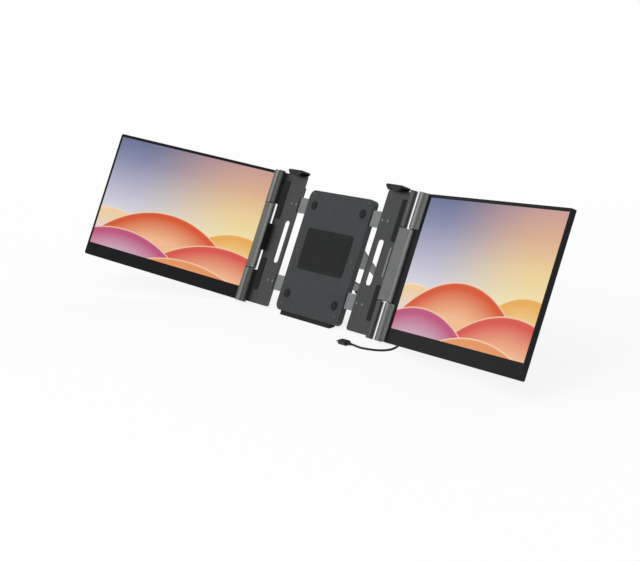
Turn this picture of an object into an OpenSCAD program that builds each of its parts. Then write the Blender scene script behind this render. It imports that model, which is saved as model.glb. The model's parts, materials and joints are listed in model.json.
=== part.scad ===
// Clip-on dual monitor extender for a laptop.
// A back frame stands behind the laptop's lid and grips it with side claws and top hooks.
// A monitor hangs on each side on a two-pivot hinge, so both fold over the lid.
// The frame and lid are drawn upright (X across, Y away from the user, Z up the lid), with the
// lid's screen face at Y = 0, and the finished assembly is leaned back onto its foot and stand.

/* [Laptop lid] */
// Width of the laptop lid that the side claws are set to
lid_w = 342; // [330:1:356]
// Thickness of the laptop lid
lid_t = 6; // [5:0.25:7]
// Height of the lid's top edge above its hinge line
lid_h = 210.5; // [206:0.5:216]
// Lean of the lid and the frame back from upright, in degrees
lean = 29.9; // [26:0.1:33]

/* [Monitors] */
// Width of the lit area
screen_w = 344.2; // [300:0.1:360]
// Height of the lit area
screen_h = 193.6; // [188:0.1:196]
// Bezel at the sides of the lit area
side_bezel = 4.5; // [3.5:0.1:8]
// Bezel above the lit area
top_bezel = 4.8; // [3.5:0.1:8]
// Bezel below the lit area
chin = 21.9; // [18:0.1:26]
// Thickness of a monitor
monitor_t = 7.5; // [7:0.1:9]
// Corner radius of a monitor
monitor_r = 3.5; // [2:0.1:6]
// Height of a monitor's lower edge on the lid's scale
monitor_z = -11; // [-12:0.1:-10]
// Wall of a monitor's rear cover
cover_wall = 1.4; // [1:0.1:2]
// Thickness of the front bezel frame
bezel_t = 1; // [0.8:0.1:1.4]
// Thickness of the screen glass
glass_t = 0.7; // [0.5:0.1:1]
// Thickness of the liquid-crystal module with its backlight
lcd_t = 2.9; // [2.4:0.1:3.2]

/* [Hinges] */
// Fold of the left monitor towards the user, in degrees
left_wing = 20.9; // [0:0.1:30]
// Fold of the right monitor towards the user, in degrees
right_wing = 8.4; // [0:0.1:30]
// Distance between the two pivots of the left hinge
left_link = 12.8; // [12.4:0.1:14]
// Distance between the two pivots of the right hinge
right_link = 18.2; // [17.5:0.1:20]
// Radius of a hinge barrel at the frame
pivot_r = 5.5; // [5:0.1:5.8]
// Radius of a hinge barrel at the monitor
barrel_r = 6; // [5.5:0.1:6.2]
// Radius of a hinge pin
pin_r = 2.2; // [1.5:0.1:3]
// Radius of a hinge pin's head
pin_head_r = 3.4; // [3:0.1:4]
// Lower end of the hinge barrels
hinge_z = -12; // [-12.4:0.1:-11]
// Upper end of the hinge barrels
hinge_top = 210; // [205:0.5:215]
// Lower end of the link between the pivots
link_z = 45; // [38:0.5:55]
// Upper end of the link between the pivots
link_top = 154; // [145:0.5:162]
// Thickness of the friction washers at the link's ends
washer_t = 0.8; // [0.5:0.1:1.2]

/* [Frame] */
// Width of the frame housing
frame_w = 174; // [150:1:176]
// Lower edge of the frame housing
frame_z = -8; // [-9:0.5:-6]
// Upper edge of the frame housing
frame_top = 188; // [182:1:200]
// Corner radius of the frame housing
frame_r = 12; // [8:0.5:18]
// Depth of the frame housing
frame_t = 10; // [9.4:0.2:12]
// Wall of the frame housing
frame_wall = 1.8; // [1.4:0.1:2.4]
// Thickness of the housing's front plate
front_t = 1.2; // [1:0.1:1.5]
// Thickness of the silicone pads between the frame and the lid
pad_t = 1.2; // [0.8:0.1:2]
// Thickness of a side plate
plate_t = 4.5; // [4:0.1:5]
// Height of a slide bar
bar_h = 25; // [18:0.5:30]
// Thickness of a slide bar
bar_t = 3; // [2.5:0.1:3.2]
// Lower edge of the lower slide bars
bar_low = 20; // [12:0.5:24]
// Lower edge of the upper slide bars
bar_high = 148; // [138:0.5:152]

/* [Claws and hooks] */
// Height of a side claw
claw_h = 45; // [35:0.5:60]
// Lower edge of a side claw
claw_z = 77; // [65:0.5:82]
// Sheet thickness of a side claw
claw_t = 1.2; // [1:0.1:1.4]
// Width of a side claw's lip over the lid's front
claw_lip = 2; // [1.5:0.1:4]
// Thickness of the silicone in the claws and hooks
grip_t = 0.8; // [0.6:0.1:1]
// Width of a top hook
hook_w = 40; // [30:1:44]
// Wall of a top hook
hook_t = 3.2; // [2.6:0.1:4]
// Height of a top hook's lip over the lid's front
hook_lip = 5; // [4:0.5:8]
// Width of a top hook's stem
stem_w = 26; // [20:1:28]

/* [Kickstand] */
// Width of the kickstand
stand_w = 120; // [90:1:126]
// Distance from the kickstand's pin to its foot
stand_len = 123; // [118:1:128]
// Thickness of the kickstand plate
stand_t = 2.4; // [2:0.1:3]
// Height of the kickstand's pin on the lid's scale
stand_z = 122; // [120:1:128]
// Radius of the kickstand's rubber foot
stand_foot_r = 3.5; // [3:0.1:4]
// Radius of the kickstand's pin
stand_pin_r = 1.6; // [1.2:0.1:2]

/* [Electronics] */
// Inner end of the electronics housing, from the hinge pin
box_x = 80; // [74:1:95]
// Length of the electronics housing
box_w = 140; // [120:1:170]
// Height of the electronics housing
box_h = 50; // [46:1:70]
// Depth of the electronics housing
box_t = 8; // [7.4:0.1:10]
// Travel of a button
button_travel = 0.6; // [0.4:0.1:1]

/* [Hidden] */
$fn = 48;
left = 0;
right = 1;

// Clearances
seat = 0.05;        // between pieces that are fixed to each other
run = 0.3;          // between pieces that slide or turn past each other
pin_fit = 0.05;     // radial clearance of a pin in its bore
cut = 1;            // how far a cutting shape runs past the surface it cuts

// Colours
metal_grey = "#7b7b79";
dark_metal = "#5a5c5c";
steel = "#a9abab";
black_plastic = "#1c1c1e";
chin_grey = "#2c2c2d";
shell_grey = "#3a3d3e";
hook_grey = "#3a403c";
rubber_black = "#151616";
board_green = "#1f4d36";
screen_blend = "#c7a9a5";

// Planes of the frame, counted from the lid's screen face
lid_edge = lid_w/2;
plate_y = lid_t + pad_t;
plate_back = plate_y + plate_t;
frame_back = plate_y + frame_t;
bar_y = plate_y + front_t + run;
bar_back = bar_y + bar_t;
bar_rows = [bar_low, bar_high];

// Side plates
plate_reach = 59;   // how far a side plate reaches in from the lid's edge
plate_in = lid_edge - plate_reach;
plate_out = lid_edge + 5.2;
plate_z = -9;
plate_top = 208;
plate_edge = 0.8;   // chamfer along a side plate's back
bar_in = 28;
bar_seat = 26;      // how far a slide bar lies in its side plate
guide_len = 40;
guide_wall = 4;
guide_out = frame_w/2 - frame_wall - 1.2;
rivet_r = 2;

// Pivots
pivot_x = lid_edge + 8;
pivot_y = lid_t/2;
links = [left_link, right_link];
link_drop = [4.5, 10];
wings = [left_wing, right_wing];
outer_r = [barrel_r, 5];
panel_x = [barrel_r + 0.6, 19.2];
panel_y = [4, 0.8];
function outer_x(side) = pivot_x + links[side]*cos(link_drop[side]);
function outer_y(side) = pivot_y + links[side]*sin(link_drop[side]);

// Monitors
panel_w = screen_w + 2*side_bezel;
panel_h = screen_h + top_bezel + chin;
panel_top = monitor_z + panel_h;
back_y = [for (side = [left, right]) panel_y[side] + monitor_t];
leaf_t = 0.8;       // sheet of the left leaves
leaf_y = -1.7;      // front of the right leaves' plates
leaf_thick = 6.1;
pin_head_t = 1.6;
spine_x = outer_r[right] + 0.6;
spine_y = 1;

// Foot of the frame and the stand: the table is at Z = 0 once the assembly is leaned back
foot_y = 12.5;
foot_z = -12.4;
foot_w = 140;
foot_deep = 9;
stand_y = frame_back + run + stand_foot_r;
stand_high = (stand_z - foot_z)*cos(lean) - (stand_y - foot_y)*sin(lean);
stand_open = lean + acos((stand_high - stand_foot_r)/stand_len);

// Electronics housing on the right monitor
box_z = monitor_z + 7;
box_wall = 1.4;
box_back = back_y[right] + box_t;
board_y = back_y[right] + 1.1;
board_t = 1.2;
port_y = back_y[right] + box_t/2;
usb_w = 8.9;
usb_h = 3.2;
usb_len = 7.3;
tongue_t = 0.7;
usb_z = box_z + 9;
usb_gap = 15;
hdmi_w = 11.2;
usb_r = usb_h/2 - 0.05;
hdmi_r = 0.9;
port_fit = 0.1;
button_w = 6;
button_h = 3;
button_gap = 12;
button_out = 0.9;
button_r = 0.7;
button_fit = 0.25;
button_flange = 0.6;
switch_x = box_x + box_w - box_wall - run - button_flange - button_travel - 0.2;

// Cord: points of the route in millimetres on the table, with its start at the monitor's plug
cord_r = 1.6;
cord_sides = 8;
plug_w = 10.6;
plug_t = 6.4;
plug_len = 18;
relief_len = 8;
tip_w = 8.2;
tip_t = 2.4;
tip_len = 6.6;
CORD = [
    [251.8, 7, 16.1], [246, 7.7, 15.7], [240, 9.5, 13.6], [235.5, 11, 9.6], [234, 9.5, 5.2],
    [235, 5, 2.5], [237.5, 0, 1.8], [240.5, -7, 1.7], [241.3, -13.5, 1.7], [238.8, -19.8, 1.7],
    [233.2, -24.9, 1.7], [225.5, -28.8, 1.7], [216.5, -31.7, 1.7], [206.5, -33.8, 1.7],
    [196.5, -35.4, 1.8], [187, -36.3, 2.6], [180.5, -36.6, 3.3], [174, -36.6, 3.3],
];

// ---------- Placing ----------

module leaned() {
    rotate([-lean, 0, 0]) translate([0, -foot_y, -foot_z]) children();
}

module on_side(side) {
    if (side == left) mirror([1, 0, 0]) children();
    else children();
}

module on_frame(side) {
    leaned() on_side(side) children();
}

// X runs from the inner pivot to the outer one
module on_link(side) {
    on_frame(side) translate([pivot_x, pivot_y, 0]) rotate([0, 0, link_drop[side]]) children();
}

// Z is the outer pivot, X runs outwards along the monitor and Y to its back
module on_monitor(side) {
    on_frame(side) translate([outer_x(side), outer_y(side), 0]) rotate([0, 0, -wings[side]])
        children();
}

// ---------- Shapes ----------

// Rounded rectangle with its lower left corner at the origin
module rounded_rect(w, h, r) {
    translate([r, 0]) square([w - 2*r, h]);
    translate([0, r]) square([w, h - 2*r]);
    for (x = [r, w - r], y = [r, h - r]) translate([x, y]) circle(r);
}

// Slab in the X-Z plane that fills Y from y0 to y1
module slab(x0, x1, z0, z1, r, y0, y1) {
    translate([x0, y1, z0]) rotate([90, 0, 0]) linear_extrude(y1 - y0)
        rounded_rect(x1 - x0, z1 - z0, r);
}

module block(x0, x1, y0, y1, z0, z1) {
    translate([x0, y0, z0]) cube([x1 - x0, y1 - y0, z1 - z0]);
}

module rod(x, y, z0, z1, r) {
    translate([x, y, z0]) cylinder(h = z1 - z0, r = r);
}

// Rod along Y
module peg(x, z, y0, y1, r) {
    translate([x, y1, z]) rotate([90, 0, 0]) cylinder(h = y1 - y0, r = r);
}

// Slab whose back edges are chamfered by c
module chamfered_slab(x0, x1, z0, z1, r, y0, y1, c) {
    intersection() {
        slab(x0, x1, z0, z1, r, y0, y1);
        translate([0, 0, z0]) linear_extrude(z1 - z0)
            polygon([[x0, y0], [x1, y0], [x1, y1 - c], [x1 - c, y1], [x0 + c, y1], [x0, y1 - c]]);
        translate([x0, 0, 0]) rotate([90, 0, 90]) linear_extrude(x1 - x0)
            polygon([[y0, z0], [y1 - c, z0], [y1, z0 + c], [y1, z1 - c], [y1 - c, z1], [y0, z1]]);
    }
}

// ---------- Frame ----------

module front_plate() {
    color(shell_grey) leaned() difference() {
        slab(-frame_w/2, frame_w/2, frame_z, frame_top, frame_r, plate_y, plate_y + front_t);
        for (x = screw_xs(), z = screw_zs())
            peg(x, z, plate_y - cut, plate_y + front_t + cut, screw_r + seat);
    }
}

screw_r = 1.5;
screw_head_r = 2.8;
screw_head_t = 0.8;
screw_len = 5;
boss_wall = 1.2;
lug_w = 7;
lug_r = 3.8;
function screw_xs() = [-frame_w/2 + 12, frame_w/2 - 12];
function screw_zs() = [frame_z + 12, (frame_z + frame_top)/2, frame_top - 5.5];

module back_shell() {
    shell_y = plate_y + front_t;
    color(shell_grey) leaned() {
        difference() {
            chamfered_slab(-frame_w/2, frame_w/2, frame_z, frame_top, frame_r, shell_y, frame_back,
                           1.5);
            slab(-frame_w/2 + frame_wall, frame_w/2 - frame_wall, frame_z + frame_wall,
                 frame_top - frame_wall, frame_r - frame_wall, shell_y - cut,
                 frame_back - frame_wall);
            for (z = bar_rows)
                block(-frame_w, frame_w, shell_y - cut, bar_back + run, z - run, z + bar_h + run);
        }
        for (x = screw_xs(), z = screw_zs()) difference() {
            peg(x, z, shell_y, frame_back - frame_wall, screw_head_r + boss_wall);
            peg(x, z, shell_y - cut, shell_y + screw_len, screw_r + seat);
        }
        for (side = [-1, 1]) stand_lug(side*(stand_w/2 + run + 0.5 + lug_w/2));
    }
}

// Ear on the back of the frame that carries the kickstand's pin
module stand_lug(x) {
    difference() {
        union() {
            translate([x - lug_w/2, stand_y, stand_z]) rotate([0, 90, 0])
                cylinder(h = lug_w, r = lug_r);
            block(x - lug_w/2, x + lug_w/2, frame_back - 0.5, stand_y, stand_z - lug_r,
                  stand_z + lug_r);
        }
        translate([x - lug_w, stand_y, stand_z]) rotate([0, 90, 0])
            cylinder(h = 2*lug_w, r = stand_pin_r + pin_fit);
    }
}

pad_w = 124;
pad_h = 66;
pad_z = 62;
pad_dot_r = 7;

module lid_pad() {
    color(rubber_black) leaned() {
        slab(-pad_w/2, pad_w/2, pad_z, pad_z + pad_h, 6, lid_t, plate_y);
        for (x = [-1, 1]*(pad_w/2 + 4), z = [frame_z + 28, frame_top - 24])
            peg(x, z, lid_t, plate_y, pad_dot_r);
    }
}

module frame_foot() {
    color(rubber_black) intersection() {
        leaned() block(-foot_w/2, foot_w/2, foot_y - foot_deep/2, foot_y + foot_deep/2,
                       frame_z - foot_deep, frame_z);
        block(-foot_w, foot_w, -2*foot_deep, 2*foot_deep, 0, 2*foot_deep);
    }
}

// Blocks in the housing that the slide bars run in
module guide_blocks() {
    color(black_plastic) for (side = [left, right], z = bar_rows) on_frame(side) difference() {
        slab(guide_out - guide_len, guide_out, z - guide_wall, z + bar_h + guide_wall, 2,
             plate_y + front_t, frame_back - frame_wall);
        block(0, frame_w, plate_y, bar_back + run, z - run, z + bar_h + run);
    }
}

module frame_screws() {
    color(steel) leaned() for (x = screw_xs(), z = screw_zs()) {
        peg(x, z, plate_y, plate_y + front_t + screw_len, screw_r);
        peg(x, z, plate_y - screw_head_t, plate_y, screw_head_r);
    }
}

// ---------- Kickstand ----------

stand_roll_r = 3.4;
stand_corner_r = 7;
window_w = 76;
window_h = 40;
window_low = 22;

module on_stand() {
    leaned() translate([0, stand_y, stand_z]) rotate([stand_open, 0, 0]) children();
}

module kickstand() {
    color(dark_metal) on_stand() difference() {
        union() {
            translate([-stand_w/2, 0, 0]) rotate([0, 90, 0]) cylinder(h = stand_w, r = stand_roll_r);
            slab(-stand_w/2, stand_w/2, -stand_len, 0, stand_corner_r, -stand_t/2, stand_t/2);
            block(-stand_w/2, stand_w/2, -stand_t/2, stand_t/2, -stand_corner_r - 1, 0);
        }
        translate([-stand_w, 0, 0]) rotate([0, 90, 0])
            cylinder(h = 2*stand_w, r = stand_pin_r + pin_fit);
        slab(-window_w/2, window_w/2, -stand_len + window_low, -stand_len + window_low + window_h, 8,
             -stand_t, stand_t);
    }
}

module kickstand_pin() {
    reach = stand_w/2 + 2*run + 0.4 + lug_w;
    head_t = 1;
    color(steel) on_stand() {
        translate([-reach, 0, 0]) rotate([0, 90, 0]) cylinder(h = 2*reach, r = stand_pin_r);
        for (x = [-reach - head_t, reach]) translate([x, 0, 0]) rotate([0, 90, 0])
            cylinder(h = head_t, r = stand_pin_r + 1.2);
    }
}

module kickstand_foot() {
    w = stand_w - 2*stand_corner_r;
    color(rubber_black) on_stand() difference() {
        translate([-w/2, 0, -stand_len]) rotate([0, 90, 0]) cylinder(h = w, r = stand_foot_r);
        block(-w, w, -stand_t/2, stand_t/2, -stand_len, 0);
    }
}

// ---------- Side plates ----------

module side_plate(side) {
    color(metal_grey) on_frame(side) difference() {
        union() {
            chamfered_slab(plate_in, plate_out, plate_z, plate_top, 5, plate_y, plate_back, plate_edge);
            for (z = knuckle_spans()) knuckle(z[0], z[1]);
        }
        // notch for the link and the claw
        block(lid_edge, plate_out + 20, plate_y - 20, plate_back + cut, link_z - washer_t - knuckle_gap,
              link_top + washer_t + knuckle_gap);
        for (z = bar_rows)
            block(plate_in - cut, plate_in + bar_seat + seat, bar_y - seat, plate_back + cut,
                  z - seat, z + bar_h + seat);
        slab(plate_in + 8, plate_in + 26, bar_low + bar_h + 17, bar_high - 16, 5, plate_y - cut,
             plate_back + cut);
        for (z = bar_rows, dx = rivet_xs())
            peg(plate_in + dx, z + bar_h/2, plate_y - cut, bar_y, rivet_r + seat);
        for (z = claw_screw_zs())
            peg(lid_edge - 11, z, plate_back - claw_screw_in - seat, plate_back + cut, screw_r + seat);
        rod(pivot_x, pivot_y, hinge_z - cut, hinge_top + cut, pin_r + pin_fit);
        rod(pivot_x, pivot_y, hinge_top - pin_head_t, hinge_top + cut, pin_head_r + 0.1);
    }
}

function rivet_xs() = [6, bar_seat - 6];
function knuckle_spans() = [[hinge_z, link_z - washer_t - knuckle_gap],
                            [link_top + washer_t + knuckle_gap, hinge_top]];

// Barrel round the inner pivot, with a web down to the side plate that is no taller than the plate
module knuckle(z0, z1) {
    low = max(z0, plate_z);
    high = min(z1, plate_top);
    rod(pivot_x, pivot_y, z0, z1, pivot_r);
    translate([0, 0, low]) linear_extrude(high - low)
        polygon([[pivot_x - pivot_r, pivot_y], [pivot_x - pivot_r, plate_back],
                 [plate_out, plate_back], [pivot_x + pivot_r*cos(63), pivot_y + pivot_r*sin(63)],
                 [pivot_x, pivot_y]]);
}

// Flat bars that run in the guides and are riveted into the side plate
module slide_bars(side) {
    color(steel) on_frame(side) for (z = bar_rows) {
        slab(bar_in, plate_in + bar_seat, z, z + bar_h, 2, bar_y, bar_back);
        for (dx = rivet_xs()) peg(plate_in + dx, z + bar_h/2, plate_y, bar_y, rivet_r);
    }
}

module plate_pads(side) {
    color(rubber_black) on_frame(side)
        for (z = [[plate_z + 21, claw_z - 11], [claw_z + claw_h + 10, plate_top - 12]])
            slab(lid_edge - 18, lid_edge - 6, z[0], z[1], 3, lid_t, plate_y);
}

claw_bend = 1;      // inner radius of the claw's bends
claw_foot = 22;     // reach of the claw's foot over the side plate's back
claw_screw_in = 3;

// Bent sheet that reaches round the lid's side edge
module side_claw(side) {
    front = -grip_t - claw_t;
    back = plate_back + seat + claw_t;
    color(metal_grey) on_frame(side) difference() {
        translate([0, 0, claw_z]) linear_extrude(claw_h) difference() {
            translate([lid_edge - 2*claw_foot, front])
                rounded_rect(2*claw_foot + grip_t + claw_t, back - front, claw_bend + claw_t);
            translate([lid_edge - 3*claw_foot, front + claw_t])
                rounded_rect(3*claw_foot + grip_t, back - front - 2*claw_t, claw_bend);
            translate([lid_edge - 3*claw_foot, front - cut])
                square([3*claw_foot - claw_lip, claw_t + 2*cut]);
            translate([lid_edge - 3*claw_foot, back - claw_t - cut])
                square([2*claw_foot, claw_t + 2*cut]);
        }
        for (z = claw_screw_zs())
            peg(lid_edge - 11, z, plate_back - cut, back + cut, screw_r + seat);
    }
}

function claw_screw_zs() = [claw_z + 9, claw_z + claw_h - 9];

module claw_pad(side) {
    color(rubber_black) on_frame(side) translate([0, 0, claw_z]) linear_extrude(claw_h)
        difference() {
            translate([lid_edge - 2*claw_lip, -grip_t])
                rounded_rect(2*claw_lip + grip_t, 2*lid_t, claw_bend);
            translate([lid_edge - 3*claw_lip, 0]) square([3*claw_lip, 3*lid_t]);
            translate([lid_edge - 3*claw_lip, -grip_t - cut]) square([2*claw_lip, 3*lid_t]);
            translate([lid_edge - cut, lid_t]) square([grip_t + 2*cut, 2*lid_t]);
        }
}

module claw_screws(side) {
    color(steel) on_frame(side) for (z = claw_screw_zs()) {
        peg(lid_edge - 11, z, plate_back + seat + claw_t, plate_back + seat + claw_t + screw_head_t,
            screw_head_r);
        peg(lid_edge - 11, z, plate_back - claw_screw_in, plate_back + seat + claw_t, screw_r);
    }
}

// ---------- Top hooks ----------

hook_mid = lid_edge - 36.5;
stem_y = plate_back + run;
stem_t = 2;
stem_low = 150;
hook_bend = 1.2;
hook_corner_r = 3;
stem_corner_r = 4;
groove_r = 0.6;
groove_pitch = 3;
guide_t = 1.6;
guide_z = 164;
guide_h = 26;

module hook_guide(side) {
    stem_x = hook_mid - stem_w/2;
    color(shell_grey) on_frame(side) difference() {
        slab(stem_x - 6, stem_x + stem_w + 6, guide_z, guide_z + guide_h, 3, plate_back,
             stem_y + stem_t + run + guide_t);
        block(stem_x - run, stem_x + stem_w + run, plate_back - cut, stem_y + stem_t + run,
              guide_z - cut, guide_z + guide_h + cut);
    }
}

// Front outline that a hook's head and liner share: full width over the lid's edge, and narrowing to
// the stem's width at the end of the lip
module hook_outline(y0, y1) {
    low = lid_h - hook_lip;
    shoulder = lid_h + grip_t;
    top = shoulder + hook_t;
    translate([hook_mid, y1, 0]) rotate([90, 0, 0]) linear_extrude(y1 - y0)
        polygon([[-stem_w/2, low], [stem_w/2, low], [hook_w/2, shoulder], [hook_w/2, top],
                 [-hook_w/2, top], [-hook_w/2, shoulder]]);
}

// Stem with a bent-over head, whose roof has three finger grooves
module top_hook(side) {
    top = lid_h + grip_t + hook_t;
    low = lid_h - hook_lip;
    front = -grip_t - hook_t/2;
    back = stem_y + stem_t;
    x0 = hook_mid - hook_w/2;
    color(hook_grey) on_frame(side) {
        slab(hook_mid - stem_w/2, hook_mid + stem_w/2, stem_low, top - hook_bend, stem_corner_r,
             stem_y, back);
        difference() {
            intersection() {
                translate([x0, 0, 0]) rotate([90, 0, 90]) linear_extrude(hook_w) difference() {
                    translate([front, low]) rounded_rect(back - front, top - low, hook_bend);
                    translate([-grip_t, low - cut]) square([stem_y + grip_t, hook_lip + grip_t + cut]);
                }
                slab(x0, x0 + hook_w, low - hook_w, top, hook_corner_r, front - cut, back + cut);
                hook_outline(front - cut, back + cut);
            }
            for (y = [0:2]) translate([x0 - cut, y*groove_pitch + 2, top]) rotate([0, 90, 0])
                cylinder(h = hook_w + 2*cut, r = groove_r);
        }
    }
}

module hook_pad(side) {
    color(rubber_black) on_frame(side) {
        intersection() {
            block(hook_mid - hook_w/2, hook_mid + hook_w/2, -grip_t, 0, lid_h - hook_lip,
                  lid_h + grip_t);
            hook_outline(-grip_t, 0);
        }
        block(hook_mid - hook_w/2, hook_mid + hook_w/2, 0, lid_t, lid_h, lid_h + grip_t);
    }
}

// ---------- Hinges ----------

web_in = 0.1;       // how far the web between the barrels lies inside their common tangents
washer_gap = 0.2;   // between the link and its washers
knuckle_gap = 0.5;  // between the washers and the knuckles

// Arm with a barrel at each end that joins the two pivots
module hinge_link(side) {
    d = links[side];
    a = asin((pivot_r - outer_r[side])/d);
    ra = pivot_r - web_in;
    rb = outer_r[side] - web_in;
    z0 = link_z + washer_gap;
    z1 = link_top - washer_gap;
    color(metal_grey) on_link(side) difference() {
        union() {
            rod(0, 0, z0, z1, pivot_r);
            rod(d, 0, z0, z1, outer_r[side]);
            translate([0, 0, z0]) linear_extrude(z1 - z0)
                polygon([[ra*sin(a), ra*cos(a)], [d + rb*sin(a), rb*cos(a)],
                         [d + rb*sin(a), -rb*cos(a)], [ra*sin(a), -ra*cos(a)]]);
        }
        for (x = [0, d]) rod(x, 0, link_z - cut, link_top + cut, pin_r + pin_fit);
    }
}

module frame_pin(side) {
    color(steel) on_link(side) hinge_pin();
}

module monitor_pin(side) {
    color(steel) on_monitor(side) hinge_pin();
}

module hinge_pin() {
    rod(0, 0, hinge_z + 0.6, hinge_top - pin_head_t + seat, pin_r);
    rod(0, 0, hinge_top - pin_head_t + seat, hinge_top - 0.3, pin_head_r);
}

module hinge_washers(side) {
    color(steel) on_link(side) for (x = [0, links[side]], z = [link_z - washer_t, link_top])
        difference() {
            rod(x, 0, z, z + washer_t, 4.2);
            rod(x, 0, z - cut, z + washer_t + cut, pin_r + pin_fit);
        }
}

// ---------- Monitors ----------

// Leaves that tie the monitor to its pin: 0 is the lower one, 1 the upper
function leaf_span(i) = knuckle_spans()[i];
function leaf_screw_zs(i) = [leaf_span(i)[0] + 14, leaf_span(i)[1] - 12];

module hinge_leaf(side, i) {
    z0 = leaf_span(i)[0];
    z1 = leaf_span(i)[1];
    color(metal_grey) on_monitor(side) difference() {
        union() {
            rod(0, 0, z0, z1, barrel_r);
            if (side == left) clasp_leaf(z0, z1);
            else block(0, panel_x[right] - 0.2, leaf_y, leaf_y + leaf_thick, max(z0, monitor_z),
                       min(z1, panel_top));
        }
        rod(0, 0, z0 - cut, z1 + cut, pin_r + pin_fit);
        if (i == 1) rod(0, 0, hinge_top - pin_head_t, hinge_top + cut, pin_head_r + 0.1);
        leaf_holes(side, i);
    }
}

// Holes for a leaf's screws, through the leaf and into the rear cover
module leaf_holes(side, i) {
    y = leaf_screw_y(side);
    for (z = leaf_screw_zs(i))
        peg(leaf_screw_x[side], z, y[1] - seat, y[0] + seat, leaf_screw_r + seat);
}

// Leaf that wraps the monitor's inner edge, with a strip on the bezel and one on the back
module clasp_leaf(z0, z1) {
    front = panel_y[left] - leaf_t - seat;
    back = back_y[left] + seat;
    edge = panel_x[left] + side_bezel - 0.2;
    low = max(z0, -7);
    high = min(z1, panel_top - 4);
    block(0, edge, front, front + leaf_t, max(z0, monitor_z), min(z1, panel_top));
    block(2, panel_x[left] - 0.2, front, back + leaf_t, low, high);
    block(2, panel_x[left] + 20, back, back + leaf_t, low, high);
}

leaf_screw_x = [19, 14];
leaf_screw_r = 1.2;
leaf_head_r = 2.1;
leaf_head_t = [0.5, 0.8];
leaf_grip = 3;      // how deep the right screws go into their leaf
// Y of the screws' heads' seats, then of their tips
function leaf_screw_y(side) = side == left ? [back_y[left] + seat + leaf_t, back_y[left] - 2.6]
                                           : [back_y[right], leaf_y + leaf_thick - leaf_grip];

module leaf_screws(side) {
    y = leaf_screw_y(side);
    color(steel) on_monitor(side) for (i = [0, 1], z = leaf_screw_zs(i)) {
        peg(leaf_screw_x[side], z, y[1], y[0], leaf_screw_r);
        peg(leaf_screw_x[side], z, y[0], y[0] + leaf_head_t[side], leaf_head_r);
    }
}

module rear_cover(side) {
    x0 = panel_x[side];
    y0 = panel_y[side] + bezel_t;
    y1 = back_y[side];
    color(black_plastic) on_monitor(side) {
        difference() {
            chamfered_slab(x0, x0 + panel_w, monitor_z, panel_top, monitor_r, y0, y1, 1.5);
            slab(x0 + cover_wall, x0 + panel_w - cover_wall, monitor_z + cover_wall,
                 panel_top - cover_wall, monitor_r - cover_wall, y0 - cut, y1 - cover_wall);
            if (side == right) cable_hole();
            if (side == left) for (i = [0, 1]) leaf_holes(left, i);
        }
        for (x = lcd_posts(x0), z = [monitor_z + chin + 8, panel_top - top_bezel - 8])
            peg(x, z, y0 + lcd_t + seat, y1 - cover_wall + 0.2, 2.5);
        if (side == right) hinge_spine();
    }
}

function lcd_posts(x0) = [for (i = [0:4]) x0 + side_bezel + 12 + i*(screen_w - 24)/4];

lead_w = 40;
lead_h = 18;

// Opening in the back for the leads from the electronics housing
module cable_hole() {
    x = box_x + box_w/2;
    slab(x - lead_w/2, x + lead_w/2, box_z + 12, box_z + 12 + lead_h, 2, back_y[right] - 2*cover_wall,
         back_y[right] + cut);
}

// Rib along the inner edge that the right monitor's leaves are screwed to, and that fills the edge
// between them
module hinge_spine() {
    low = knuckle_spans()[0][1] + seat;
    high = knuckle_spans()[1][0] - seat;
    difference() {
        block(spine_x + 3.4, panel_x[right] + cut, leaf_y + leaf_thick, back_y[right], monitor_z,
              panel_top);
        for (i = [0, 1]) leaf_holes(right, i);
    }
    block(spine_x, panel_x[right], spine_y, back_y[right], low, high);
    block(spine_x, panel_x[right] + cut, panel_y[right] + bezel_t, back_y[right], low, high);
}

module front_bezel(side) {
    x0 = panel_x[side];
    y0 = panel_y[side];
    color(chin_grey) on_monitor(side) difference() {
        slab(x0, x0 + panel_w, monitor_z, panel_top, monitor_r, y0, y0 + bezel_t);
        block(x0 + side_bezel, x0 + side_bezel + screen_w, y0 - cut, y0 + bezel_t + cut,
              monitor_z + chin, monitor_z + chin + screen_h);
    }
}

module screen_glass(side) {
    x0 = panel_x[side] + side_bezel + seat;
    z0 = monitor_z + chin + seat;
    y0 = panel_y[side] + bezel_t - glass_t;
    color(screen_blend) on_monitor(side)
        block(x0, x0 + screen_w - 2*seat, y0, y0 + glass_t, z0, z0 + screen_h - 2*seat);
}

lcd_rim = 1.5;      // module beyond the lit area, behind the bezel

module lcd_module(side) {
    x0 = panel_x[side] + side_bezel;
    z0 = monitor_z + chin;
    y0 = panel_y[side] + bezel_t;
    color(steel) on_monitor(side)
        block(x0 - lcd_rim, x0 + screen_w + lcd_rim, y0, y0 + lcd_t, z0 - lcd_rim,
              z0 + screen_h + lcd_rim);
}

module driver_board() {
    x0 = panel_x[left] + panel_w/6;
    y0 = panel_y[left] + bezel_t;
    z0 = monitor_z + 4;
    w = panel_w/2;
    h = chin - 8;
    color(board_green) on_monitor(left) {
        block(x0, x0 + w, y0, y0 + 1, z0, z0 + h);
        for (i = [1:3]) block(x0 + i*w/4 - 6, x0 + i*w/4 + 6, y0 + 1, back_y[left] - cover_wall,
                              z0 + 2, z0 + h - 2);
    }
}

// ---------- Electronics housing on the right monitor ----------

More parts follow.
